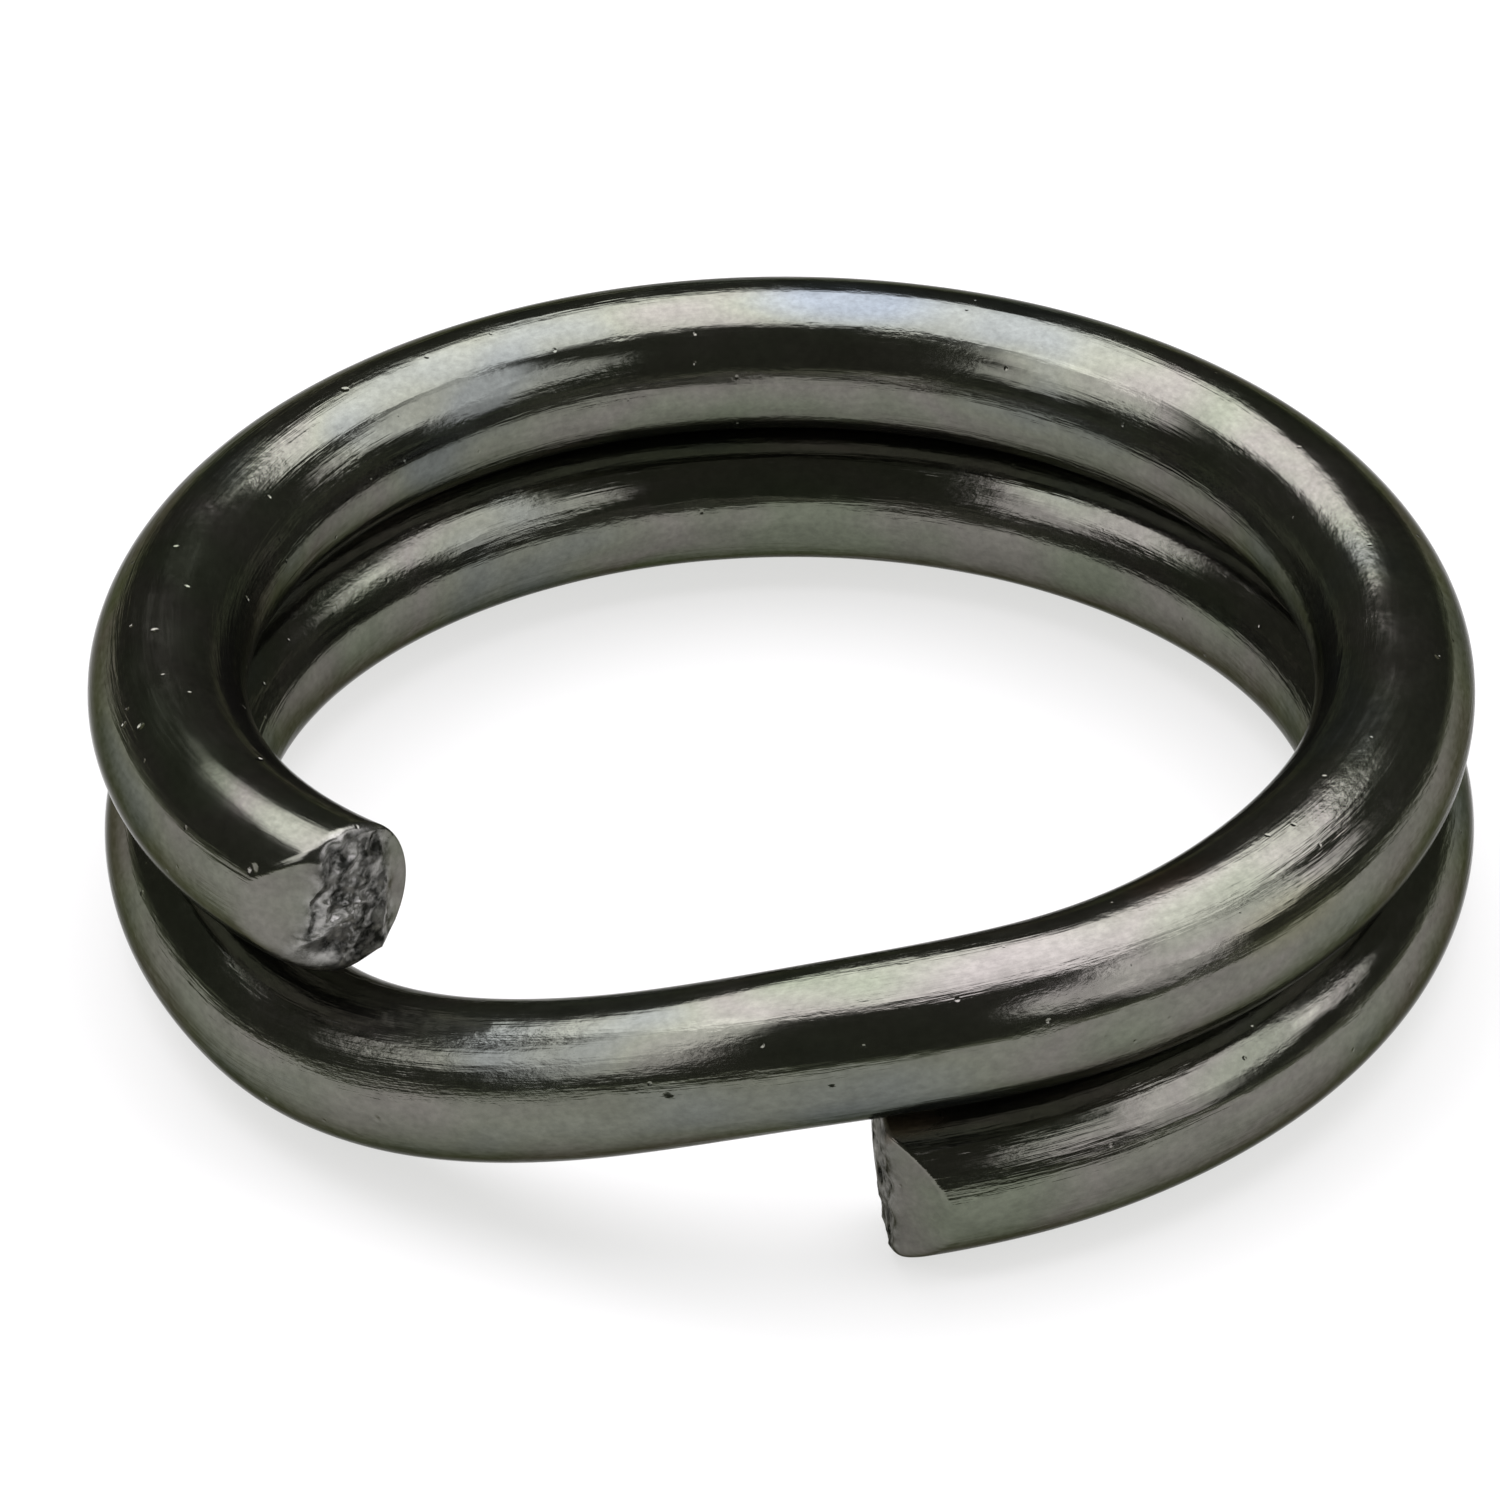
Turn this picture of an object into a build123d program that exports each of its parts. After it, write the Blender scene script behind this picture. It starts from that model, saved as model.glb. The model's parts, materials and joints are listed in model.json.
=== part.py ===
"""Split key ring: one round spring wire coiled into two flat turns that lie on each other.

The wire starts at the upper free end at the front left, runs round the left, the back and the
right as the upper turn, steps down through an S-shaped crossover at the front, and runs round
again as the lower turn to the lower free end, just under the start of the crossover.

Frame: +Z up, along the ring's axis. The origin is on the axis, level with the lowest point of
the wire. The crossover is at the front, towards -Y. An azimuth is measured anticlockwise from
+X, and falls all the way along the wire, from the upper free end to the lower one.
"""

from build123d import *
import os
from math import cos, radians, sin, sqrt

# Driving dimensions, in millimetres and degrees
wire_diameter = 1.38
ring_outer_diameter = 12.0
turn_gap = 0.04              # clear space between the two flat turns
flex_gap = 0.05              # saw-thin space between two stretches of the wire, where it bends
lower_turn_inset = 0.02      # the lower turn is this much smaller in radius
upper_turn_shift = (-0.033, -0.025)
lower_turn_shift = (0.034, 0.003)

# The S-shaped step from the upper turn down to the lower one
crossover_start = -69.5
crossover_end = -148.3
crossover_pull_in = 0.18     # how far its middle dips inside the turns' circle
crossover_sharpness = 0.3    # 0 eases in gently, 1 steps down more steeply in the middle

# The free ends, which stand a little away from the other turn over their last stretch
upper_end = 222.9
lower_end = -443.2
curl_span = 70.0
upper_lift = 0.324
upper_curl_in = 0.037
lower_droop = 0.084
lower_curl_out = 0.042

# The shear cuts. Each is a cut plane and a side bevel, given as a normal in the directions
# (along the wire, outwards, upwards) and the point it passes through in the same directions,
# measured from the wire's axis at the free end, in wire radii.
upper_cut = {"normal": (1.0, 0.05, -0.24), "point": (0.35, 0.0, 0.0)}
upper_bevel = {"normal": (0.35, 0.85, 0.40), "point": (-0.38, 0.98, 0.19)}
lower_cut = {"normal": (1.0, 0.0, 0.03), "point": (0.05, 0.0, 0.0)}
lower_bevel = {"normal": (0.634, 0.773, 0.0), "point": (0.65, 0.0, 0.0)}
cut_allowance = 1.0          # wire left beyond each free end for the cuts to take off

# The stretches that the wire is divided into, in order from the crossover to each free end
upper_stretches = (
    "upper_front_right_arc",
    "upper_right_arc",
    "upper_back_arc",
    "upper_left_arc",
    "upper_tip",
)
lower_stretches = (
    "lower_left_arc",
    "lower_back_left_arc",
    "lower_back_right_arc",
    "lower_right_arc",
    "lower_tip",
)
crossover_spans = 6          # smooth arc pairs along the crossover
stretch_spans = 3            # smooth arc pairs along every other stretch

# Sizes that follow from them
wire_radius = wire_diameter / 2
upper_radius = ring_outer_diameter / 2 - wire_radius
lower_radius = upper_radius - lower_turn_inset
half_rise = (wire_diameter + turn_gap) / 2
middle_height = half_rise + wire_radius + lower_droop
tangent_step = 0.01


def clip(value, low, high):
    """The value, held between two limits."""
    return max(low, min(high, value))


def ease(progress):
    """How far down the crossover has stepped, from 0 to 1, level at both ends."""
    step = clip(progress, 0.0, 1.0)
    gentle = step**2 * (3 - 2 * step)
    sharp = step**3 * (10 - 15 * step + 6 * step**2)
    return gentle + crossover_sharpness * (sharp - gentle)


def curl(overrun):
    """How far a free end has curled away, growing with the square of the way along it."""
    return clip(overrun / curl_span, 0.0, 2.0) ** 2


def centreline(azimuth):
    """Point on the wire's axis at an azimuth."""
    step = ease((crossover_start - azimuth) / (crossover_start - crossover_end))
    rise = curl(azimuth - (upper_end - curl_span))
    fall = curl(lower_end + curl_span - azimuth)
    radius = upper_radius * (1 - step) + lower_radius * step
    radius -= crossover_pull_in * 4 * step * (1 - step)
    radius += lower_curl_out * fall - upper_curl_in * rise
    height = middle_height + half_rise * (1 - 2 * step) + upper_lift * rise - lower_droop * fall
    shift_x = upper_turn_shift[0] * (1 - step) + lower_turn_shift[0] * step
    shift_y = upper_turn_shift[1] * (1 - step) + lower_turn_shift[1] * step
    turn = radians(azimuth)
    return Vector(radius * cos(turn) + shift_x, radius * sin(turn) + shift_y, height)


def direction(azimuth):
    """Direction of the wire at an azimuth, towards the lower free end."""
    ahead = centreline(azimuth - tangent_step)
    behind = centreline(azimuth + tangent_step)
    return (ahead - behind).normalized()


def arc_pair_joint(start, start_way, end, end_way):
    """Point where two arcs meet smoothly that leave start and reach end in the given ways."""
    chord = end - start
    along = chord.dot(start_way + end_way)
    turning = 2 * (1 - start_way.dot(end_way))
    reach = (sqrt(along**2 + turning * chord.dot(chord)) - along) / turning
    return (start + end + (start_way - end_way) * reach) / 2


def trimmed(azimuth, distance):
    """Azimuth that lies a distance further along the wire."""
    slope = (centreline(azimuth - tangent_step) - centreline(azimuth)).length / tangent_step
    return azimuth - distance / slope


def wire_route(start_azimuth, end_azimuth, spans):
    """The wire's axis between two azimuths, as tangent arcs."""
    with BuildLine(mode=Mode.PRIVATE) as route:
        for index in range(spans):
            first = start_azimuth + (end_azimuth - start_azimuth) * index / spans
            last = start_azimuth + (end_azimuth - start_azimuth) * (index + 1) / spans
            start = centreline(first)
            end = centreline(last)
            joint = arc_pair_joint(start, direction(first), end, direction(last))
            opening_arc = TangentArc(start, joint, tangent=direction(first))
            TangentArc(joint, end, tangent=opening_arc % 1)
    return route.wires()[0]


def cut_plane(azimuth, onward, cut):
    """Plane of a shear cut at a free end; onward is 1 if the wire ends where azimuths fall."""
    along = direction(azimuth) * onward
    outward = Vector(cos(radians(azimuth)), sin(radians(azimuth)), 0)
    outward = (outward - along * outward.dot(along)).normalized()
    upward = along.cross(outward) * onward
    ways = (along, outward, upward)
    normal = sum((way * part for way, part in zip(ways, cut["normal"])), Vector(0, 0, 0))
    offset = sum((way * part for way, part in zip(ways, cut["point"])), Vector(0, 0, 0))
    return Plane(origin=centreline(azimuth) + offset * wire_radius, z_dir=normal)


def stations(first, last, count):
    """Azimuths that divide a length of wire into equal stretches."""
    return [first + (last - first) * index / count for index in range(count + 1)]


upper_stations = stations(crossover_start, upper_end, len(upper_stretches))
lower_stations = stations(crossover_end, lower_end, len(lower_stretches))

os.makedirs("parts", exist_ok=True)

# The crossover, which both turns spring from
crossover_route = wire_route(
    trimmed(crossover_start, flex_gap / 2), trimmed(crossover_end, -flex_gap / 2), crossover_spans
)
with BuildPart() as crossover:
    with BuildSketch(Plane(crossover_route @ 0, z_dir=crossover_route % 0)):
        Circle(wire_radius)
    sweep(path=crossover_route)
crossover.part.label = "crossover"
export_step(crossover.part, "parts/crossover.step")

# The upper turn, from the crossover back to the upper free end
for index, name in enumerate(upper_stretches):
    near = trimmed(upper_stations[index], -flex_gap / 2)
    far = trimmed(upper_stations[index + 1], flex_gap / 2)
    is_tip = name == upper_stretches[-1]
    if is_tip:
        far = trimmed(upper_stations[index + 1], -cut_allowance)
    arc_route = wire_route(far, near, stretch_spans)
    with BuildPart() as upper_stretch:
        with BuildSketch(Plane(arc_route @ 0, z_dir=arc_route % 0)):
            Circle(wire_radius)
        sweep(path=arc_route)
        if is_tip:
            split(bisect_by=cut_plane(upper_end, -1, upper_cut), keep=Keep.BOTTOM)
            split(bisect_by=cut_plane(upper_end, -1, upper_bevel), keep=Keep.BOTTOM)
    upper_stretch.part.label = name
    export_step(upper_stretch.part, f"parts/{name}.step")

# The lower turn, from the crossover on to the lower free end
for index, name in enumerate(lower_stretches):
    near = trimmed(lower_stations[index], flex_gap / 2)
    far = trimmed(lower_stations[index + 1], -flex_gap / 2)
    is_tip = name == lower_stretches[-1]
    if is_tip:
        far = trimmed(lower_stations[index + 1], cut_allowance)
    arc_route = wire_route(near, far, stretch_spans)
    with BuildPart() as lower_stretch:
        with BuildSketch(Plane(arc_route @ 0, z_dir=arc_route % 0)):
            Circle(wire_radius)
        sweep(path=arc_route)
        if is_tip:
            split(bisect_by=cut_plane(lower_end, 1, lower_cut), keep=Keep.BOTTOM)
            split(bisect_by=cut_plane(lower_end, 1, lower_bevel), keep=Keep.BOTTOM)
    lower_stretch.part.label = name
    export_step(lower_stretch.part, f"parts/{name}.step")
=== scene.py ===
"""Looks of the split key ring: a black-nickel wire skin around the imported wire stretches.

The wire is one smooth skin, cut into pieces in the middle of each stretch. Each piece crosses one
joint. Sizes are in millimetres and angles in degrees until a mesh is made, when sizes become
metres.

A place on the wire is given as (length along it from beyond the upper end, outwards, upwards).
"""

import json
import math

import bpy
import numpy as np
from mathutils import Matrix, Vector

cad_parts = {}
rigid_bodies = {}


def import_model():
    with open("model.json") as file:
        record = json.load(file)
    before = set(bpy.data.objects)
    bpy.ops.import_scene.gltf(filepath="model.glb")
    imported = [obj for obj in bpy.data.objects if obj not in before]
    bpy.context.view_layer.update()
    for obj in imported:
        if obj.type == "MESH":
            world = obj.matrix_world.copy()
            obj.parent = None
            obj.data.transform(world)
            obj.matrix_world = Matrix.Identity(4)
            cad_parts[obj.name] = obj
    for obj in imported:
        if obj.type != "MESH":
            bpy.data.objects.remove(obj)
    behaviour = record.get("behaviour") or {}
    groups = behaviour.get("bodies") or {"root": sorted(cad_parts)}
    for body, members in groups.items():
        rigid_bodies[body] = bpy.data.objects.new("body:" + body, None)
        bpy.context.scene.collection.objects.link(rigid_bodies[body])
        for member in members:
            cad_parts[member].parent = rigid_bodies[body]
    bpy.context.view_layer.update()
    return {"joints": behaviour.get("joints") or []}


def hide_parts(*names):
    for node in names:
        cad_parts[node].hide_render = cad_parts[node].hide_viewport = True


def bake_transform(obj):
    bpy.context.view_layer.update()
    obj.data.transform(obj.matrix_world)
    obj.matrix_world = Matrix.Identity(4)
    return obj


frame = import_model()

MM = 0.001

# The wire's own dimensions, the same as the CAD model's
WIRE_RADIUS = 0.69
RING_DIAMETER = 12.0
TURN_GAP = 0.04
LOWER_TURN_INSET = 0.02
UPPER_TURN_SHIFT = (-0.033, -0.025)
LOWER_TURN_SHIFT = (0.034, 0.003)
CROSSOVER_START = -69.5
CROSSOVER_END = -148.3
CROSSOVER_PULL_IN = 0.18
CROSSOVER_SHARPNESS = 0.3
UPPER_END = 222.9
LOWER_END = -443.2
CURL_SPAN = 70.0
UPPER_LIFT = 0.324
UPPER_CURL_IN = 0.037
LOWER_DROOP = 0.084
LOWER_CURL_OUT = 0.042

UPPER_RADIUS = RING_DIAMETER / 2 - WIRE_RADIUS
LOWER_RADIUS = UPPER_RADIUS - LOWER_TURN_INSET
HALF_RISE = WIRE_RADIUS + TURN_GAP / 2
MIDDLE_HEIGHT = HALF_RISE + WIRE_RADIUS + LOWER_DROOP

# Where forming pressed the wire a little out of round: length along the wire, angle round it from
# outwards towards up, reach along and round it, and height
HUMPS = (
    (26.9, 140.0, 1.8, 45.0, 0.045),
    (31.3, 95.0, 1.3, 28.0, 0.030),
    (33.2, 115.0, 1.4, 40.0, -0.030),
    (31.9, -60.0, 1.4, 45.0, -0.045),
)

# The drawn wire's slight waviness: height, waves per mm along it and across it, shift, seed
WAVES = (
    (0.0022, (0.55, 1.3, 1.3), 3.1, 5),
    (0.0009, (1.7, 3.0, 3.0), 7.7, 6),
)

# The sheared ends, in wire radii
CREASE_BLUR = 0.05                   # rounding between the pressed bevel and the torn face
TORN_BLUR = 0.04                     # how gradually the torn look sets in there
BEVEL_RISE_FROM = -0.2               # how high up its outer corner starts to rise
SHEARED_SIDE = (-0.85, 0.4, 0.2)     # the torn face's smooth inner side: place, fade, tear left
TEAR_GRAIN = ((2.4, 3.6, 1.0), 0, 5)     # waves across the face, added to the seed, octaves
TEAR_RIDGES = ((1.9, 1.4, 1.0), 9, 2)
GRAIN_SHARE = 0.7
RIDGE_SHARE = 0.6
TEAR_SKEW = 0.35                     # leans the torn pattern across the face
TEAR_LEVEL = 0.37                    # third coordinate of the pattern, the same all over the face
RIM_PROBE = 0.05                     # how far in from the rim the end's slope is measured

# Mesh fineness
COLUMNS = 96            # round the wire
RING_STEP = 0.08        # along the wire
END_STRETCH = 1.5       # length of wire at each end whose rings follow the slanting rim
END_ROWS = 34
END_CROWDING = 1.6      # above 1, these rings crowd towards the rim
RIM_ROWS = 12
FACE_ROWS = 44
LINE_POINTS = 20001     # places where the wire's line is measured
LINE_OVERRUN = 30.0     # how far it is measured beyond each free end
TANGENT_STEP = 0.01     # how far apart two places are that give the wire's direction, each way

# Patterns in the finish: waves per mm along the wire, outwards and upwards, detail, roughness
TINT_DRIFT = ((0.42, 0.9, 0.9), 2.0, 0.5)
TORN_SPECKLE = ((6.5, 6.5, 6.5), 4.0, 0.6)
FINE_MOTTLE = ((13.0, 17.0, 17.0), 3.0, 0.6)
BROAD_MOTTLE = ((2.2, 4.0, 4.0), 2.0, 0.5)
DRAW_LINES = ((0.9, 18.0, 18.0), 3.0, 0.6)
GRAIN = ((10.0, 24.0, 24.0), 3.0, 0.62)
BLOTCHES = ((1.3, 2.6, 2.6), 3.0, 0.55)
STREAKS = ((0.33, 1.1, 1.1), 2.0, 0.5)

# What the patterns become: the range of the pattern, and the range that it is spread over
FINE_MOTTLE_TINT = (0.3, 0.7, 0.86, 1.12)
BROAD_MOTTLE_TINT = (0.3, 0.7, 0.92, 1.07)
BLOTCH_ROUGHNESS = (0.35, 0.70, 0.08, 0.16)
DRAW_LINE_ROUGHNESS = (0.3, 0.7, -0.02, 0.03)
BLOTCH_GRAIN = (0.44, 0.62, 0.25, 2.1)
STREAK_DRAW_LINES = (0.42, 0.62, 0.8, 5.0)

# The finish
METALLIC = 0.97
EDGE_TINT = (0.27, 0.27, 0.25, 1)    # how much of the mirror glare at grazing angles is left
PLATE_TINTS = (                      # share of the drift, colour
    (0.30, (0.126, 0.136, 0.128)),
    (0.44, (0.141, 0.147, 0.119)),
    (0.56, (0.150, 0.144, 0.128)),
    (0.70, (0.130, 0.142, 0.108)),
)
TORN_TINTS = (                       # share of the speckle, colour
    (0.38, (0.035, 0.036, 0.033)),
    (0.62, (0.34, 0.335, 0.32)),
)
TORN_ROUGHNESS = 0.22                # added to the plate's
TIP_GRAIN = (5.0, 9.0, 0.15, 1.0)    # lengths that the grain sets in between, grain at each
CUT_RELIEF = 0.25                    # share of the wire's relief that is left on the cut faces
BUMP_UNIT = 1.6e-6                   # what one unit of relief is, in metres
SPECK_WAVES = (3.0, 3.0, 3.0)
SPECK_REACH = 0.08
SPECK_RISE = 4.0
DENTS = (                            # place on the wire, reach, height in units of relief
    ((32.72, 0.67, 0.15), 0.070, -7.0),
    ((31.49, 0.68, 0.12), 0.050, 7.0),
    ((3.02, 0.57, 0.39), 0.070, 9.0),
    ((6.50, 0.084, 0.685), 0.042, 5.0),
    ((4.09, -0.25, 0.643), 0.050, 15.0),
    ((7.88, 0.048, 0.688), 0.035, 4.0),
    ((24.18, 0.355, 0.591), 0.045, 6.0),
    ((35.27, 0.689, -0.036), 0.045, 6.0),
    ((5.20, 0.400, 0.562), 0.042, 12.0),
    ((5.40, 0.500, 0.475), 0.035, 10.0),
    ((7.25, -0.155, 0.672), 0.035, 8.0),
    ((5.50, -0.570, 0.389), 0.040, 14.0),
    ((7.70, -0.610, 0.322), 0.040, 14.0),
    ((10.86, -0.012, 0.690), 0.045, 9.0),
)
STAIN_AND_REFLECTION_STRETCH = (0.35, 1.0, 1.0)     # stains and the painted reflection are longer along the wire than across it
STAIN_AND_REFLECTION_CORE = 0.3                     # share of its reach over which each stain, and the painted reflection, is at its full
STAIN_AND_REFLECTION_STRENGTH = 0.8
STAINS_AND_PAINTED_REFLECTION = (                           # stains and one painted reflection: place on the wire, reach, colour, added roughness
    ((15.90, -0.13, 0.68), 0.42, (0.122, 0.142, 0.164), 0.0),
    ((30.00, 0.30, 0.62), 0.45, (0.156, 0.145, 0.137), 0.0),
    ((28.40, -0.16, 0.67), 0.22, (0.170, 0.136, 0.110), 0.02),
    # a brownish, dull patch on the lower end's top: painted reflection of the crossover's underside
    # above it
    ((64.35, 0.15, 0.67), 0.22, (0.170, 0.130, 0.085), 0.34),
    ((27.70, 0.60, 0.34), 0.30, (0.150, 0.150, 0.105), 0.04),
)

# The studio's light. Places on the ceiling are tangents of the angle from straight up.
PANEL_MIDDLE = (-0.03, 0.64)
PANEL_RADIUS = 0.91
PANEL_EDGE = 0.07                    # share of the radius that the edge fades over, each way
PANEL_CORNER = (0.66, 1.29, 0.06)    # its cut-off back right corner: slope, distance, fade
PANEL_LIGHT = 4.5
PANEL_FALL = 1.3                     # how much less light there is at its rim than in its middle
SIDE_LAMPS = (                       # azimuth, tilt from straight up, full and last reach, light
    (-9.0, 50.0, 13.0, 20.0, 2.3),
    (-42.0, 56.0, 5.0, 15.0, 1.7),
    (-28.0, 69.0, 5.0, 14.0, 1.4),
    (11.0, 61.0, 3.0, 10.0, 1.9),
    (190.0, 44.0, 9.0, 21.0, 2.5),
    (214.0, 61.0, 4.0, 14.0, 1.6),
)
LAMP_COLOUR = (1.0, 0.975, 1.03, 1)
ROOM_LIGHT = 0.064
ROOM_COLOUR = (0.94, 1.0, 0.76, 1)
HORIZON_LIGHT = (0.30, 0.15)         # added to the room's light at the horizon, and up to where
LEAST_RISE = 0.02                    # directions lower than this count as this high

# The floor and the backdrop
BACKDROP_COLOUR = (1.0, 1.0, 0.99, 1)
FLOOR_SIDE = 3000.0
FLOOR_COLOUR = (0.30, 0.30, 0.30, 1)
FLOOR_ROUGHNESS = 0.9
FLOOR_GLOW = 0.66

# The camera: a long lens in front of the ring, about a third of the way up
CAMERA_ELEVATION = 34.2
CAMERA_AZIMUTH = -1.63               # from straight in front, anticlockwise
CAMERA_ROLL = 0.27
CAMERA_DISTANCE = 79.85              # from the ring's middle
CAMERA_AIM = (-0.304, -0.075)        # where it looks, to the right of and above that
CAMERA_LENS = 220.1
CAMERA_SENSOR = 36.0
CAMERA_CLIP = (0.005, 20.0)          # in metres


# ---------------------------------------------------------------- noise

HASH_FACTORS = (73856093, 19349663, 83492791)
HASH_SEED_FACTOR = 2654435761
HASH_MIXER = 1274126177
HASH_BITS = 0xFFFFFF


def lattice_noise(points, seed):
    """Smooth noise from -1 to 1 at an array of points, the same on every run."""
    cell = np.floor(points).astype(np.int64)
    part = points - cell
    part = part * part * (3 - 2 * part)
    total = np.zeros(points.shape[:-1])
    for corner in np.ndindex(2, 2, 2):
        key = seed * HASH_SEED_FACTOR
        weight = np.ones(points.shape[:-1])
        for axis in range(3):
            key = key ^ (cell[..., axis] + corner[axis]) * HASH_FACTORS[axis]
            share = part[..., axis]
            weight = weight * (share if corner[axis] else 1 - share)
        key = (key ^ (key >> 13)) * HASH_MIXER
        value = ((key ^ (key >> 16)) & HASH_BITS) / (HASH_BITS // 2) - 1.0
        total += value * weight
    return total


def rough_noise(points, seed, octaves):
    """Noise with finer and finer detail."""
    return sum(lattice_noise(points * 2**n, seed + n) / 2**n for n in range(octaves))


# ---------------------------------------------------------------- the wire's line

def ease(progress):
    """How far down the crossover has stepped, from 0 to 1."""
    step = np.clip(progress, 0, 1)
    gentle = step**2 * (3 - 2 * step)
    sharp = step**3 * (10 - 15 * step + 6 * step**2)
    return gentle + CROSSOVER_SHARPNESS * (sharp - gentle)


def curl(overrun):
    """How far a free end has curled away from the other turn."""
    return np.clip(overrun / CURL_SPAN, 0, 2) ** 2


def centreline(azimuth):
    """Points on the wire's axis at an array of azimuths."""
    step = ease((CROSSOVER_START - azimuth) / (CROSSOVER_START - CROSSOVER_END))
    rise = curl(azimuth - (UPPER_END - CURL_SPAN))
    fall = curl(LOWER_END + CURL_SPAN - azimuth)
    radius = UPPER_RADIUS * (1 - step) + LOWER_RADIUS * step
    radius = radius - CROSSOVER_PULL_IN * 4 * step * (1 - step)
    radius = radius + LOWER_CURL_OUT * fall - UPPER_CURL_IN * rise
    height = MIDDLE_HEIGHT + HALF_RISE * (1 - 2 * step) + UPPER_LIFT * rise - LOWER_DROOP * fall
    shift_x = UPPER_TURN_SHIFT[0] * (1 - step) + LOWER_TURN_SHIFT[0] * step
    shift_y = UPPER_TURN_SHIFT[1] * (1 - step) + LOWER_TURN_SHIFT[1] * step
    turn = np.radians(azimuth)
    return np.stack([radius * np.cos(turn) + shift_x, radius * np.sin(turn) + shift_y, height], -1)


def unit(vectors):
    """Vectors of length 1 with the same directions."""
    return vectors / np.linalg.norm(vectors, axis=-1, keepdims=True)


def ways(azimuth):
    """Unit directions along the wire towards the lower end, outwards and upwards."""
    along = unit(centreline(azimuth - TANGENT_STEP) - centreline(azimuth + TANGENT_STEP))
    turn = np.radians(azimuth)
    outward = np.stack([np.cos(turn), np.sin(turn), np.zeros_like(turn)], -1)
    outward = unit(outward - along * (along * outward).sum(-1, keepdims=True))
    return along, outward, np.cross(along, outward)


def off_axis(azimuth, out, up):
    """Points at offsets outwards and upwards from the wire's axis."""
    _, outward, upward = ways(azimuth)
    return centreline(azimuth) + outward * out[..., None] + upward * up[..., None]


LINE_AZIMUTHS = np.linspace(UPPER_END + LINE_OVERRUN, LOWER_END - LINE_OVERRUN, LINE_POINTS)
LINE_STEPS = np.linalg.norm(np.diff(centreline(LINE_AZIMUTHS), axis=0), axis=1)
LINE_LENGTHS = np.concatenate([[0], np.cumsum(LINE_STEPS)])


def length_at(azimuth):
    """Length along the wire at an azimuth, from beyond the upper end."""
    return np.interp(-azimuth, -LINE_AZIMUTHS, LINE_LENGTHS)


def azimuth_at(length):
    """Azimuth at a length along the wire."""
    return np.interp(length, LINE_LENGTHS, LINE_AZIMUTHS)


# ---------------------------------------------------------------- the sheared ends

def soft_min(a, b, blur):
    """The lesser of two heights, with the crease between them rounded."""
    return (a + b - np.sqrt((a - b) ** 2 + blur**2)) / 2


class End:
    """One sheared end. Heights are in wire radii, along the wire and out of its end."""

    def __init__(self, azimuth, outgoing, bevel, face, rim, seed, tear):
        self.azimuth = azimuth        # where on the wire heights are measured from
        self.outgoing = outgoing      # 1 where the wire ends as lengths grow, -1 where they begin
        self.bevel = bevel            # height at the axis, slope outwards, slope upwards, top rise
        self.face = face              # height at the axis, slope up, fall-back on the outer side
        self.rim = rim                # rounding of the rim, at angles from outwards towards up
        self.seed = seed
        self.tear = tear              # depth of the torn grain, in wire radii

    def plain_parts(self, out, up):
        """Heights of the pressed bevel and of the face before it tears."""
        corner = np.clip(out, 0, None) * np.clip(up - BEVEL_RISE_FROM, 0, None) ** 2
        bevel = self.bevel[0] + self.bevel[1] * out + self.bevel[2] * up + self.bevel[3] * corner
        face = self.face[0] + self.face[1] * up - self.face[2] * np.clip(out, 0, None) ** 2
        return bevel, face

    def parts(self, out, up):
        """Heights of the pressed bevel and of the torn face at offsets from the axis."""
        bevel, face = self.plain_parts(out, up)
        grain = self.tear_pattern(out, up, *TEAR_GRAIN)
        ridges = 1 - 2 * np.abs(self.tear_pattern(out, up, *TEAR_RIDGES))
        depth = self.tear * self.roughest(out)
        return bevel, face + depth * (GRAIN_SHARE * grain + RIDGE_SHARE * ridges)

    def tear_pattern(self, out, up, waves, added_seed, octaves):
        """One of the two patterns that the torn face is made of."""
        at = np.stack([out, up, np.full_like(out, TEAR_LEVEL)], -1)
        skewed = at + TEAR_SKEW * np.stack([up, -out, out * 0], -1)
        return rough_noise(skewed * np.array(waves), self.seed + added_seed, octaves)

    def roughest(self, out):
        """1 over most of the torn face, less on the inner side, where the wire sheared smoothly."""
        side, fade, least = SHEARED_SIDE
        share = np.clip((out - side) / fade, least, 1)
        return share * share * (3 - 2 * share)

    def height(self, out, up):
        """Height of the whole end, bevel and torn face together."""
        bevel, face = self.parts(out, up)
        return soft_min(bevel, face, CREASE_BLUR)

    def plain_height(self, out, up):
        """Height of the whole end before it tears."""
        bevel, face = self.plain_parts(out, up)
        return soft_min(bevel, face, CREASE_BLUR)

    def torn(self, out, up):
        """1 on the torn face, 0 on the bevel."""
        bevel, face = self.parts(out, up)
        return self.roughest(out) / (1 + np.exp(-(bevel - face) / TORN_BLUR))


UPPER_CUT = End(
    azimuth=225.1,
    outgoing=-1,
    bevel=(0.98, -1.7, -0.44, 0.5),
    face=(0.05, 0.06, 0.40),
    rim=(
        (-180, 0.05),
        (-115, 0.06),
        (-80, 0.25),
        (-40, 0.45),
        (-8, 0.35),
        (8, 0.10),
        (20, 0.13),
        (60, 0.15),
        (100, 0.12),
        (135, 0.05),
        (180, 0.05),
    ),
    seed=11,
    tear=0.10,
)
LOWER_CUT = End(
    azimuth=-443.4,
    outgoing=1,
    bevel=(0.36, -0.93, 0.0, 0.0),
    face=(-0.02, 0.03, 0.08),
    rim=((-180, 0.07), (-90, 0.10), (-50, 0.16), (-10, 0.10), (20, 0.05), (180, 0.07)),
    seed=41,
    tear=0.05,
)

# Angles of one row of points round the wire, in radians from outwards towards up
ROUND = np.arange(COLUMNS) * 2 * math.pi / COLUMNS


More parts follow.
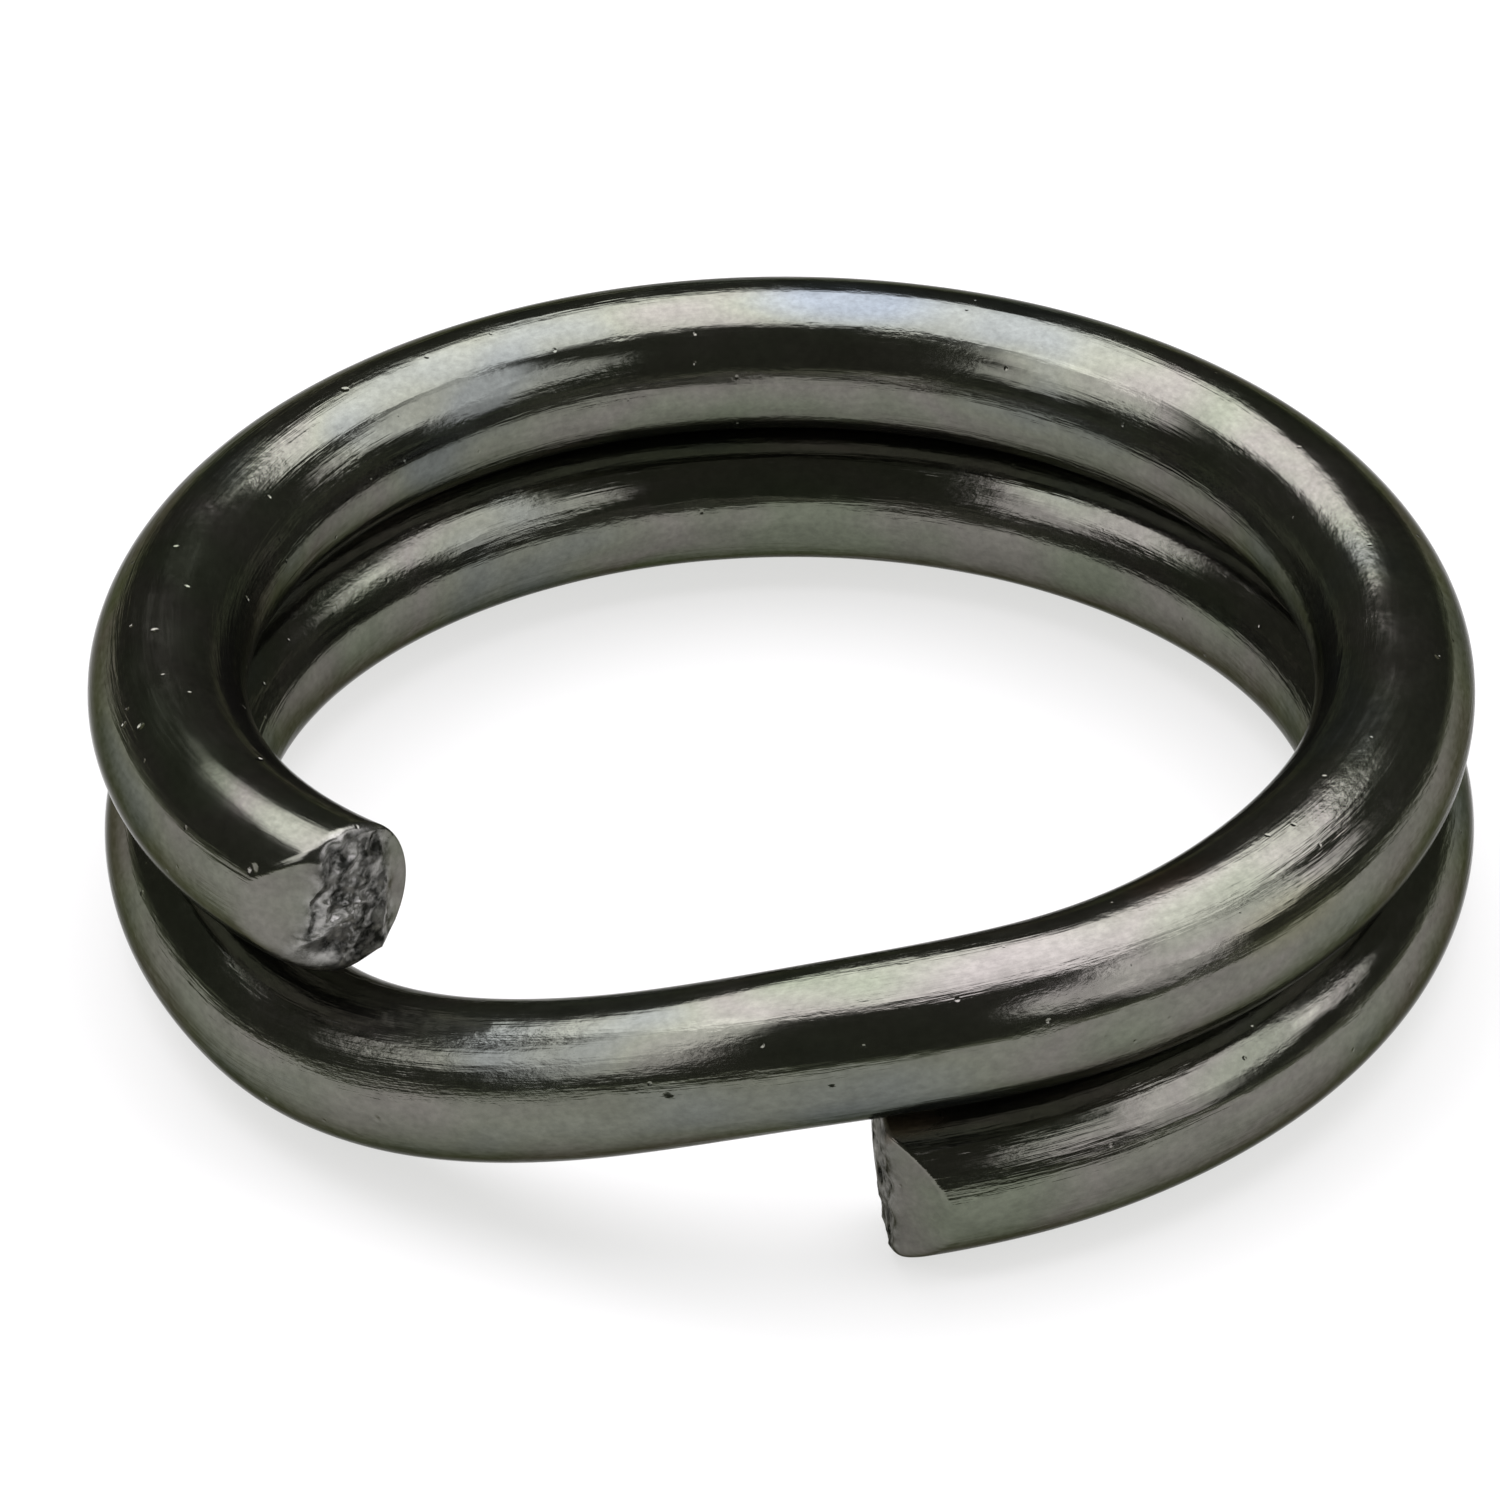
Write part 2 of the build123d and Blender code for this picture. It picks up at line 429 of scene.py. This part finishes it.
def end_rows(end):
    """Rows of (length, outward, upward, torn, cut) from the plain wire to the end's middle."""
    cos, sin = np.cos(ROUND), np.sin(ROUND)
    zeros = np.zeros(COLUMNS)
    signed = (np.degrees(ROUND) + 180) % 360 - 180
    rounding = np.interp(signed, *zip(*end.rim))
    rim_height = end.plain_height(cos, sin)
    probe = 1 - RIM_PROBE
    inner_slope = (rim_height - end.plain_height(probe * cos, probe * sin)) / RIM_PROBE
    inset = rounding * np.sin(np.arctan2(1, -inner_slope))
    inner_height = end.height(cos * (1 - inset), sin * (1 - inset))
    rows = []

    # The wire's side, up to the rim
    base = -END_STRETCH / WIRE_RADIUS
    for k in range(END_ROWS):
        share = 1 - (1 - k / END_ROWS) ** END_CROWDING
        height = base + (rim_height - rounding - base) * share
        rows.append((height, cos, sin, zeros, zeros))

    # The rounded rim, a curve from the side through the corner to the face
    for k in range(RIM_ROWS + 1):
        share = k / RIM_ROWS
        side, corner, face = (1 - share) ** 2, 2 * share * (1 - share), share**2
        height = side * (rim_height - rounding) + corner * rim_height + face * inner_height
        reach = 1 - inset * face
        torn = end.torn(cos * reach, sin * reach) * share
        rows.append((height, cos * reach, sin * reach, torn, np.full(COLUMNS, share)))

    # The face, in to the wire's axis
    for k in range(1, FACE_ROWS + 1):
        reach = (1 - inset) * (1 - k / FACE_ROWS)
        out, up = cos * reach, sin * reach
        rows.append((end.height(out, up), out, up, end.torn(out, up), np.ones(COLUMNS)))
    start = length_at(end.azimuth)
    return [(start + end.outgoing * h * WIRE_RADIUS, o, u, t, c) for h, o, u, t, c in rows]


# ---------------------------------------------------------------- the whole wire as one grid

def uneven_height(coords, length, out, up):
    """How far the wire's skin stands out of round, from its waviness and its humps."""
    height = sum(
        rise * lattice_noise(coords * np.array(waves) + shift, seed)
        for rise, waves, shift, seed in WAVES
    )
    round_wire = np.degrees(np.arctan2(up, out))
    for middle, facing, reach, spread, rise in HUMPS:
        aside = ((round_wire - facing + 180) % 360 - 180) / spread
        height += rise * np.exp(-(((length - middle) / reach) ** 2) - aside**2)
    return height


def wire_grid():
    """Points, places on the wire, torn and cut shares, and lengths, in rows of COLUMNS points."""
    cos, sin = np.cos(ROUND), np.sin(ROUND)
    zeros = np.zeros(COLUMNS)
    first = length_at(UPPER_CUT.azimuth) + END_STRETCH
    last = length_at(LOWER_CUT.azimuth) - END_STRETCH
    count = int((last - first) / RING_STEP)
    plain = [
        (np.full(COLUMNS, first + (last - first) * k / count), cos, sin, zeros, zeros)
        for k in range(1, count)
    ]
    rows = end_rows(UPPER_CUT)[::-1] + plain + end_rows(LOWER_CUT)
    length, out, up, torn, cut = (np.array(values) for values in zip(*rows))
    coords = np.stack([length, out * WIRE_RADIUS, up * WIRE_RADIUS], -1)
    swell = 1 + uneven_height(coords, length, out, up) / WIRE_RADIUS
    points = off_axis(azimuth_at(length), out * WIRE_RADIUS * swell, up * WIRE_RADIUS * swell)
    return points, coords, torn, cut, length


def grid_normals(points):
    """Normals of the whole wire's grid, so that the pieces cut from it meet without a seam."""
    ahead = np.roll(points, -1, axis=1)
    total = np.zeros_like(points)
    corner_a, corner_b = points[:-1], ahead[:-1]
    corner_c, corner_d = ahead[1:], points[1:]
    normal = np.cross(corner_c - corner_a, corner_b - corner_d)
    total[:-1] += normal
    total[1:] += normal
    total[:-1] += np.roll(normal, 1, axis=1)
    total[1:] += np.roll(normal, 1, axis=1)
    for pole in (0, -1):
        total[pole] = total[pole].sum(0)
    return unit(total)


POINTS, COORDS, TORN, CUT, LENGTHS = wire_grid()
NORMALS = grid_normals(POINTS)
ROW_LENGTHS = LENGTHS.mean(1)


# ---------------------------------------------------------------- materials

class Graph:
    """A shader node tree, with short ways to add nodes to it. Most of them return a socket."""

    def __init__(self, tree):
        self.tree = tree

    def node(self, kind, **settings):
        """A new node, with its properties and its unlinked inputs set by name."""
        made = self.tree.nodes.new(kind)
        for name, value in settings.items():
            if hasattr(made, name):
                setattr(made, name, value)
            else:
                made.inputs[name.replace("_", " ")].default_value = value
        return made

    def link(self, source, target):
        """A link from an output socket to an input socket."""
        self.tree.links.new(source, target)

    def attribute(self, name, output):
        """One output of an attribute that the mesh carries."""
        return self.node("ShaderNodeAttribute", attribute_name=name).outputs[output]

    def maths(self, operation, *values):
        """The result of a sum on numbers and sockets."""
        made = self.node("ShaderNodeMath", operation=operation)
        for socket, value in zip(made.inputs, values):
            if isinstance(value, (int, float)):
                socket.default_value = value
            else:
                self.link(value, socket)
        return made.outputs[0]

    def span(self, source, low, high, low_out, high_out, interpolation="LINEAR"):
        """The source's range from low to high, spread over another range."""
        made = self.node(
            "ShaderNodeMapRange",
            interpolation_type=interpolation,
            From_Min=low,
            From_Max=high,
            To_Min=low_out,
            To_Max=high_out,
        )
        self.link(source, made.inputs["Value"])
        return made.outputs["Result"]

    def soft_step(self, source, low, high):
        """0 where the source is at low and 1 where it is at high, with a soft change between."""
        return self.span(source, low, high, 0.0, 1.0, "SMOOTHSTEP")

    def stretched(self, source, scale):
        """A place, with each of its coordinates multiplied."""
        made = self.node("ShaderNodeVectorMath", operation="MULTIPLY")
        self.link(source, made.inputs[0])
        made.inputs[1].default_value = scale
        return made.outputs[0]

    def scaled(self, source, factor):
        """A colour, multiplied by a number."""
        made = self.node("ShaderNodeVectorMath", operation="SCALE")
        self.link(source, made.inputs[0])
        self.link(factor, made.inputs["Scale"])
        return made.outputs[0]

    def gap(self, source, spot):
        """Distance of a place from a spot."""
        made = self.node("ShaderNodeVectorMath", operation="DISTANCE")
        self.link(source, made.inputs[0])
        made.inputs[1].default_value = spot
        return made.outputs["Value"]

    def noise(self, source, waves, detail, roughness):
        """A noise pattern at a place."""
        made = self.node("ShaderNodeTexNoise", Scale=1.0, Detail=detail, Roughness=roughness)
        self.link(self.stretched(source, waves), made.inputs["Vector"])
        return made.outputs["Fac"]

    def ramp(self, source, stops):
        """The colour that the source points to in a row of (position, colour)."""
        made = self.node("ShaderNodeValToRGB")
        self.link(source, made.inputs["Fac"])
        while len(made.color_ramp.elements) < len(stops):
            made.color_ramp.elements.new(0.5)
        for element, (position, colour) in zip(made.color_ramp.elements, stops):
            element.position = position
            element.color = (*colour, 1)
        return made.outputs["Color"]

    def mixed(self, share, first, second):
        """Two colours mixed, each a socket or plain numbers."""
        made = self.node("ShaderNodeMix", data_type="RGBA")
        self.link(share, made.inputs["Factor"])
        for socket, colour in zip(made.inputs[6:8], (first, second)):
            if isinstance(colour, tuple):
                socket.default_value = (*colour, 1)
            else:
                self.link(colour, socket)
        return made.outputs[2]


def with_stains_and_painted_reflection(graph, wire_place, tint):
    """The plate's tint with its stains and its painted reflection, and how much roughness they add.
    """
    on_wire = graph.stretched(wire_place, STAIN_AND_REFLECTION_STRETCH)
    haze = 0.0
    for spot, reach, colour, dulling in STAINS_AND_PAINTED_REFLECTION:
        middle = tuple(part * stretch for part, stretch in zip(spot, STAIN_AND_REFLECTION_STRETCH))
        gap = graph.gap(on_wire, middle)
        share = graph.span(gap, STAIN_AND_REFLECTION_CORE * reach, reach, STAIN_AND_REFLECTION_STRENGTH, 0.0, "SMOOTHSTEP")
        tint = graph.mixed(share, tint, colour)
        haze = graph.maths("MULTIPLY_ADD", share, dulling, haze)
    return tint, haze


def mottled(graph, wire_place, tint):
    """The plate's tint, uneven in a fine and in a broad pattern."""
    mottle = graph.maths(
        "MULTIPLY",
        graph.span(graph.noise(wire_place, *FINE_MOTTLE), *FINE_MOTTLE_TINT),
        graph.span(graph.noise(wire_place, *BROAD_MOTTLE), *BROAD_MOTTLE_TINT),
    )
    return graph.scaled(tint, mottle)


def plate_relief(graph, wire_place, draw_lines, blotch):
    """Height of the draw marks and the grain on the wire, in units of relief."""
    grain = graph.noise(wire_place, *GRAIN)
    streaky = graph.noise(wire_place, *STREAKS)
    parts = graph.node("ShaderNodeSeparateXYZ")
    graph.link(wire_place, parts.inputs[0])
    beyond_tip = graph.span(parts.outputs["X"], *TIP_GRAIN)
    grained = graph.maths("MULTIPLY", graph.span(blotch, *BLOTCH_GRAIN), beyond_tip)
    relief = graph.maths("MULTIPLY", grain, grained)
    drawn = graph.span(streaky, *STREAK_DRAW_LINES)
    return graph.maths("MULTIPLY_ADD", draw_lines, drawn, relief)


def marked(graph, wire_place, relief):
    """The relief with its scattered specks and its own dents added."""
    specks = graph.node("ShaderNodeTexVoronoi", feature="F1", Scale=1.0)
    graph.link(graph.stretched(wire_place, SPECK_WAVES), specks.inputs["Vector"])
    speck = graph.span(specks.outputs["Distance"], 0.0, SPECK_REACH, 1.0, 0.0, "SMOOTHSTEP")
    relief = graph.maths("MULTIPLY_ADD", speck, SPECK_RISE, relief)
    for spot, reach, rise in DENTS:
        gap = graph.gap(wire_place, spot)
        relief = graph.maths("ADD", graph.span(gap, 0.0, reach, rise, 0.0, "SMOOTHSTEP"), relief)
    return relief


def black_nickel():
    """Polished black-nickel plate over drawn wire, and bare torn steel on the sheared faces."""
    material = bpy.data.materials.new("black_nickel")
    material.use_nodes = True
    tree = material.node_tree
    tree.nodes.clear()
    graph = Graph(tree)
    output = graph.node("ShaderNodeOutputMaterial")
    shader = graph.node("ShaderNodeBsdfPrincipled", Metallic=METALLIC)
    shader.inputs["Specular Tint"].default_value = EDGE_TINT
    graph.link(shader.outputs["BSDF"], output.inputs["Surface"])
    wire_place = graph.attribute("wire_place", "Vector")
    torn = graph.attribute("torn", "Fac")
    cut = graph.attribute("cut", "Fac")

    plate = graph.ramp(graph.noise(wire_place, *TINT_DRIFT), PLATE_TINTS)
    bare = graph.ramp(graph.noise(wire_place, *TORN_SPECKLE), TORN_TINTS)
    plate, haze = with_stains_and_painted_reflection(graph, wire_place, plate)
    plate = mottled(graph, wire_place, plate)
    graph.link(graph.mixed(torn, plate, bare), shader.inputs["Base Color"])

    draw_lines = graph.noise(wire_place, *DRAW_LINES)
    blotch = graph.noise(wire_place, *BLOTCHES)
    rough = graph.maths(
        "ADD",
        graph.span(blotch, *BLOTCH_ROUGHNESS),
        graph.span(draw_lines, *DRAW_LINE_ROUGHNESS),
    )
    rough = graph.maths("MULTIPLY_ADD", torn, TORN_ROUGHNESS, rough)
    rough = graph.maths("ADD", rough, haze)
    graph.link(rough, shader.inputs["Roughness"])

    relief = plate_relief(graph, wire_place, draw_lines, blotch)
    relief = graph.maths("MULTIPLY", relief, graph.span(cut, 0.0, 1.0, 1.0, CUT_RELIEF))
    relief = marked(graph, wire_place, relief)
    bump = graph.node("ShaderNodeBump", Strength=1.0, Distance=BUMP_UNIT)
    graph.link(relief, bump.inputs["Height"])
    graph.link(bump.outputs["Normal"], shader.inputs["Normal"])
    return material


WIRE_FINISH = black_nickel()


# ---------------------------------------------------------------- pieces of the wire

def row_at(length):
    """Index of the row of the wire's grid that is nearest to a length along the wire."""
    return int(np.argmin(np.abs(ROW_LENGTHS - length)))


def wire_piece(name, from_length, to_length):
    """The wire's skin between two lengths, closed with a flat cap at each.

    A length of None stands for the free end, which its sheared face closes.
    """
    has_head, has_tail = from_length is None, to_length is None
    first = 0 if has_head else row_at(from_length)
    last = len(POINTS) - 1 if has_tail else row_at(to_length)
    rows = np.arange(first + has_head, last + 1 - has_tail)
    count = len(rows)
    verts = list((POINTS[rows] * MM).reshape(-1, 3))
    coords = list(COORDS[rows].reshape(-1, 3))
    torn = list(TORN[rows].ravel())
    cut = list(CUT[rows].ravel())
    normals = list(NORMALS[rows].reshape(-1, 3))
    faces, corners = [], []

    def add(face, normal=None):
        """Adds a face, with one normal for all of it or else its points' own."""
        faces.append(face)
        corners.extend(normals[v] if normal is None else normal for v in face)

    for k in range(count - 1):
        for j in range(COLUMNS):
            n = (j + 1) % COLUMNS
            add((k * COLUMNS + j, (k + 1) * COLUMNS + j, (k + 1) * COLUMNS + n, k * COLUMNS + n))
    for at_head in (True, False):
        row = 0 if at_head else count - 1
        free_end = has_head if at_head else has_tail
        grid_row = first if at_head else last
        flat = None
        if not free_end:
            flat = ways(azimuth_at(ROW_LENGTHS[grid_row]))[0] * (-1 if at_head else 1)
        pole = len(verts)
        verts.append(POINTS[grid_row].mean(0) * MM)
        coords.append(COORDS[grid_row].mean(0))
        torn.append(TORN[grid_row].mean())
        cut.append(CUT[grid_row].mean())
        normals.append(NORMALS[grid_row].mean(0))
        for j in range(COLUMNS):
            a, b = row * COLUMNS + j, row * COLUMNS + (j + 1) % COLUMNS
            add((pole, a, b) if at_head else (pole, b, a), flat)
    mesh = bpy.data.meshes.new(name)
    mesh.from_pydata([tuple(v) for v in verts], [], faces)
    mesh.polygons.foreach_set("use_smooth", [True] * len(faces))
    spot = mesh.attributes.new("wire_place", "FLOAT_VECTOR", "POINT")
    spot.data.foreach_set("vector", np.array(coords, np.float32).ravel())
    for label, values in (("torn", torn), ("cut", cut)):
        share = mesh.attributes.new(label, "FLOAT", "POINT")
        share.data.foreach_set("value", np.array(values, np.float32))
    mesh.materials.append(WIRE_FINISH)
    mesh.normals_split_custom_set([tuple(n) for n in corners])
    piece = bpy.data.objects.new(name, mesh)
    bpy.context.scene.collection.objects.link(piece)
    return piece


def joint_length(joint):
    """Length along the wire at a joint, from the joint's place in the frame."""
    at = np.array(joint["pos_m"]) / MM
    return LINE_LENGTHS[int(np.argmin(np.linalg.norm(centreline(LINE_AZIMUTHS) - at, axis=1)))]


def make_wire():
    """One piece over each joint, from the middle of one stretch to the middle of the next."""
    joints = sorted(frame["joints"], key=joint_length)
    at = [joint_length(j) for j in joints]
    middles = [(a + b) / 2 for a, b in zip(at, at[1:])]
    for index, joint in enumerate(joints):
        start = middles[index - 1] if index > 0 else None
        end = middles[index] if index < len(joints) - 1 else None
        piece = wire_piece("wire_" + joint["child"], start, end)
        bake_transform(piece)
        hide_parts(joint["child"])
        if joint["parent"] == "crossover":
            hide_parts("crossover")


# ---------------------------------------------------------------- studio

def make_floor():
    """A plain pale floor, which glows so that the ring's shadow on it stays faint."""
    half = FLOOR_SIDE / 2 * MM
    corners = [(-half, -half, 0), (half, -half, 0), (half, half, 0), (-half, half, 0)]
    mesh = bpy.data.meshes.new("floor")
    mesh.from_pydata(corners, [], [(0, 1, 2, 3)])
    floor = bpy.data.objects.new("floor", mesh)
    bpy.context.scene.collection.objects.link(floor)
    material = bpy.data.materials.new("floor_white")
    material.use_nodes = True
    shader = material.node_tree.nodes["Principled BSDF"]
    shader.inputs["Base Color"].default_value = FLOOR_COLOUR
    shader.inputs["Roughness"].default_value = FLOOR_ROUGHNESS
    shader.inputs["Emission Color"].default_value = BACKDROP_COLOUR
    shader.inputs["Emission Strength"].default_value = FLOOR_GLOW
    mesh.materials.append(material)


def panel_light(graph, parts):
    """Light of the round overhead panel, from a direction's three parts."""
    level = graph.maths("MAXIMUM", parts.outputs["Z"], LEAST_RISE)
    ceiling = [graph.maths("DIVIDE", parts.outputs[axis], level) for axis in "XY"]
    offsets = [
        graph.maths("DIVIDE", graph.maths("SUBTRACT", spot, middle), PANEL_RADIUS)
        for spot, middle in zip(ceiling, PANEL_MIDDLE)
    ]
    square = graph.maths("MULTIPLY", offsets[0], offsets[0])
    square = graph.maths("MULTIPLY_ADD", offsets[1], offsets[1], square)
    inside = graph.soft_step(graph.maths("SQRT", square), 1 + PANEL_EDGE, 1 - PANEL_EDGE)
    slope, distance, fade = PANEL_CORNER
    corner = graph.maths("MULTIPLY_ADD", ceiling[0], slope, ceiling[1])
    kept = graph.soft_step(corner, distance + fade, distance - fade)
    inside = graph.maths("MULTIPLY", inside, kept)
    light = graph.maths("MULTIPLY_ADD", square, -PANEL_FALL, PANEL_LIGHT)
    return graph.maths("MULTIPLY", inside, light)


def with_side_lamps(graph, towards, light):
    """The light with the soft lamps at both sides added."""
    for azimuth, tilt, full_reach, last_reach, strength in SIDE_LAMPS:
        turn, lean = math.radians(azimuth), math.radians(tilt)
        level = math.sin(lean)
        near = graph.node("ShaderNodeVectorMath", operation="DOT_PRODUCT")
        graph.link(towards, near.inputs[0])
        near.inputs[1].default_value = (
            level * math.cos(turn),
            level * math.sin(turn),
            math.cos(lean),
        )
        edges = math.cos(math.radians(last_reach)), math.cos(math.radians(full_reach))
        inside = graph.soft_step(near.outputs["Value"], *edges)
        light = graph.maths("MULTIPLY_ADD", inside, strength, light)
    return light


def make_world():
    """A dim studio with one panel overhead and soft lamps at both sides, and a pale backdrop.

    The camera sees the backdrop in place of the studio.
    """
    world = bpy.data.worlds.new("studio")
    bpy.context.scene.world = world
    world.use_nodes = True
    tree = world.node_tree
    tree.nodes.clear()
    graph = Graph(tree)
    output = graph.node("ShaderNodeOutputWorld")
    towards = graph.node("ShaderNodeTexCoord").outputs["Generated"]
    parts = graph.node("ShaderNodeSeparateXYZ")
    graph.link(towards, parts.inputs[0])
    light = with_side_lamps(graph, towards, panel_light(graph, parts))
    lamps = graph.node("ShaderNodeBackground", Color=LAMP_COLOUR)
    graph.link(light, lamps.inputs["Strength"])
    low_light, low_reach = HORIZON_LIGHT
    low = graph.soft_step(parts.outputs["Z"], low_reach, 0.0)
    room = graph.node("ShaderNodeBackground", Color=ROOM_COLOUR)
    graph.link(graph.maths("MULTIPLY_ADD", low, low_light, ROOM_LIGHT), room.inputs["Strength"])
    studio = graph.node("ShaderNodeAddShader")
    graph.link(lamps.outputs[0], studio.inputs[0])
    graph.link(room.outputs[0], studio.inputs[1])
    backdrop = graph.node("ShaderNodeBackground", Color=BACKDROP_COLOUR, Strength=1.0)
    choose = graph.node("ShaderNodeMixShader")
    graph.link(graph.node("ShaderNodeLightPath").outputs["Is Camera Ray"], choose.inputs[0])
    graph.link(studio.outputs[0], choose.inputs[1])
    graph.link(backdrop.outputs[0], choose.inputs[2])
    graph.link(choose.outputs[0], output.inputs["Surface"])


def make_camera():
    """The camera, at the photograph's viewing angle."""
    elevation, azimuth, roll = (
        math.radians(angle) for angle in (CAMERA_ELEVATION, CAMERA_AZIMUTH, CAMERA_ROLL)
    )
    level = math.cos(elevation)
    back = Vector((math.sin(azimuth) * level, -math.cos(azimuth) * level, math.sin(elevation)))
    right = Vector((math.cos(azimuth), math.sin(azimuth), 0))
    up = back.cross(right)
    centre = Vector((0, 0, MIDDLE_HEIGHT))
    target = centre + right * CAMERA_AIM[0] + up * CAMERA_AIM[1]
    eye = centre + back * CAMERA_DISTANCE
    data = bpy.data.cameras.new("camera")
    data.sensor_width = CAMERA_SENSOR
    data.lens = CAMERA_LENS
    data.clip_start, data.clip_end = CAMERA_CLIP
    camera = bpy.data.objects.new("camera", data)
    bpy.context.scene.collection.objects.link(camera)
    bpy.context.scene.camera = camera
    look = (target - eye).normalized()
    tilted_up = (up * math.cos(roll) + right * math.sin(roll)).normalized()
    tilted_right = look.cross(tilted_up).normalized()
    tilted_up = tilted_right.cross(look)
    turned = Matrix((tilted_right, tilted_up, -look)).transposed()
    camera.matrix_world = Matrix.LocRotScale(eye * MM, turned, None)


make_wire()
make_floor()
make_world()
make_camera()
bpy.context.scene.view_settings.view_transform = "Standard"
